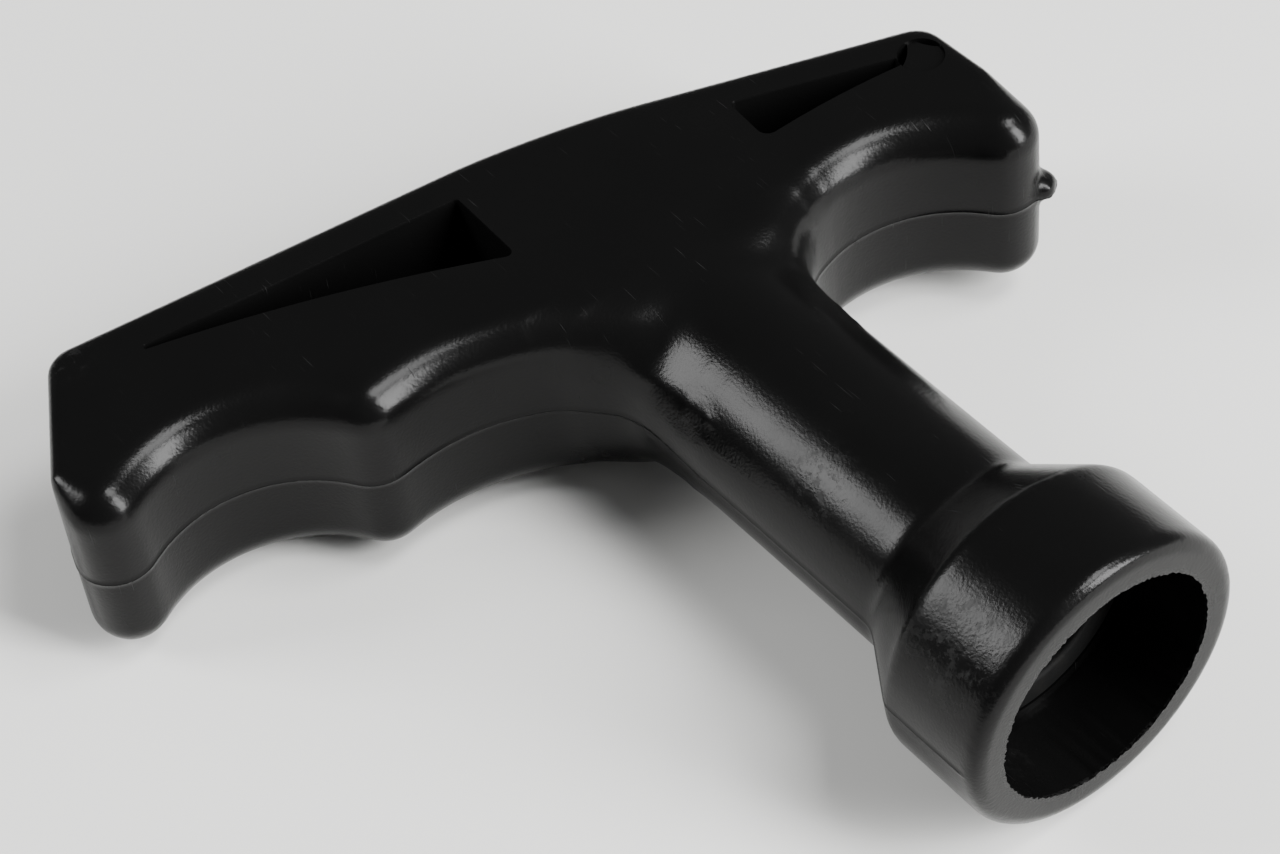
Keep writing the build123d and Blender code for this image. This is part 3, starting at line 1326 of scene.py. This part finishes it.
@dataclass
class Studio:
    """Pale floor, soft lights and the camera."""

    camera_place: Vector = field(default_factory=lambda: Vector((-135.5, -135.9, 254.4)))
    camera_right: Vector = field(default_factory=lambda: Vector((0.77658, -0.62493, -0.07992)))
    camera_down: Vector = field(default_factory=lambda: Vector((-0.51089, -0.55042, -0.66032)))
    lens: float = 99.7
    shift: tuple = (-0.0083, -0.0071)
    target: Vector = field(default_factory=lambda: Vector((-8.0, 48.0, 0.0)))
    # name, azimuth and elevation in degrees, distance and size in metres, power in watts
    lamps: tuple = (("window", 142, 34, 0.75, (0.28, 0.34), 5.0),
                    ("key", -60, 28, 0.75, (0.26, 0.60), 15.0),
                    ("overhead", -40, 63, 1.1, (0.42, 0.42), 11.0))
    sky: float = 0.18
    floor_colour: str = "#e0e0de"
    floor_roughness: float = 0.9
    floor_size: float = 1500
    # where the palm's rim and the collar's rim touch the floor, and how far it keeps below them
    palm_rim: float = 89.2
    collar_rim: float = 10.9
    floor_gap: float = 0.06

    def camera(self) -> None:
        """Sets the camera that looks down at the mouth and the long arm."""
        data = bpy.data.cameras.new("camera")
        data.lens = self.lens
        data.sensor_width = 36.0
        data.shift_x, data.shift_y = self.shift
        data.clip_start = 0.01
        data.clip_end = 20.0
        right = self.camera_right.normalized()
        up = -self.camera_down.normalized()
        back = right.cross(up).normalized()
        up = back.cross(right)
        turn = Matrix((right, up, back)).transposed().to_4x4()
        camera = bpy.data.objects.new("camera", data)
        camera.matrix_world = Matrix.Translation(self.camera_place * MM) @ turn
        bpy.context.scene.collection.objects.link(camera)
        bpy.context.scene.camera = camera

    def softbox(self, name: str, azimuth: float, elevation: float, distance: float,
                size: tuple, power: float) -> None:
        """Hangs a rectangular lamp that faces the handle.

        Args:
            name: Name of the lamp.
            azimuth: Its direction about +Z from +X, in degrees.
            elevation: Its height above the floor plane, in degrees.
            distance: Its distance in metres.
            size: Width and height in metres.
            power: Radiant power in watts.
        """
        data = bpy.data.lights.new(name, "AREA")
        data.shape = "RECTANGLE"
        data.size, data.size_y = size
        data.energy = power
        a, e = math.radians(azimuth), math.radians(elevation)
        out = Vector((math.cos(a) * math.cos(e), math.sin(a) * math.cos(e), math.sin(e)))
        lamp = bpy.data.objects.new(name, data)
        lamp.location = self.target * MM + out * distance
        lamp.rotation_euler = out.to_track_quat("Z", "Y").to_euler()
        bpy.context.scene.collection.objects.link(lamp)

    def floor(self) -> None:
        """Lays the pale floor under the collar and the palm edge of the bar."""
        collar_bottom = node_box("grip")[0].z
        tilt = math.atan2(-collar_bottom - GripMoulding.half_thickness,
                          self.palm_rim - self.collar_rim)
        bm = bmesh.new()
        place = (Matrix.Translation((0, self.target.y, 0)) @ Matrix.Rotation(tilt, 4, "X"))
        bmesh.ops.create_grid(bm, x_segments=8, y_segments=8, size=self.floor_size, matrix=place)
        low = collar_bottom + math.tan(tilt) * (self.target.y - self.collar_rim)
        bmesh.ops.translate(bm, verts=bm.verts[:], vec=(0, 0, low - self.floor_gap))
        thing = to_object(bm, "floor")
        thing.data.transform(Matrix.Scale(MM, 4))
        made = bpy.data.materials.new("pale_floor")
        made.use_nodes = True
        shader = made.node_tree.nodes["Principled BSDF"]
        shader.inputs["Base Color"].default_value = linear(self.floor_colour)
        shader.inputs["Roughness"].default_value = self.floor_roughness
        dress(thing, made)

    def build(self) -> None:
        """Sets floor, lights, sky and camera."""
        self.floor()
        self.camera()
        for lamp in self.lamps:
            self.softbox(*lamp)
        world = bpy.data.worlds.new("studio")
        world.use_nodes = True
        world.node_tree.nodes["Background"].inputs["Color"].default_value = (1, 1, 1, 1)
        world.node_tree.nodes["Background"].inputs["Strength"].default_value = self.sky
        bpy.context.scene.world = world


def main() -> None:
    """Builds the pieces in order and reports each one."""
    logging.basicConfig(level=logging.INFO, format="%(name)s: %(message)s")
    black = MouldedBlack().material()
    nylon = TurnedNylon().material()
    rubber = SoftRubber().material()
    pieces = (
        (GripMoulding(), Body.HANDLE, Slot.GRIP, "grip", black),
        (SeatBuffer(), Body.HANDLE, Slot.BUFFER, "seat_buffer", rubber),
        (RopeAnchor(), Body.ANCHOR, Slot.ANCHOR, "rope_anchor", nylon),
    )
    for maker, body, slot, node, material in pieces:
        thing = maker.build()
        dress(thing, material)
        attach(thing, body.value)
        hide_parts(node)
        LOG.info("%s: %d faces, rides on %s", thing.name, len(thing.data.polygons), body.value)
    dress(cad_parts["palm_plug"], black)
    LOG.info("palm_plug: the frame's own piece, dressed in black")
    Studio().build()


if __name__ == "__main__":
    main()
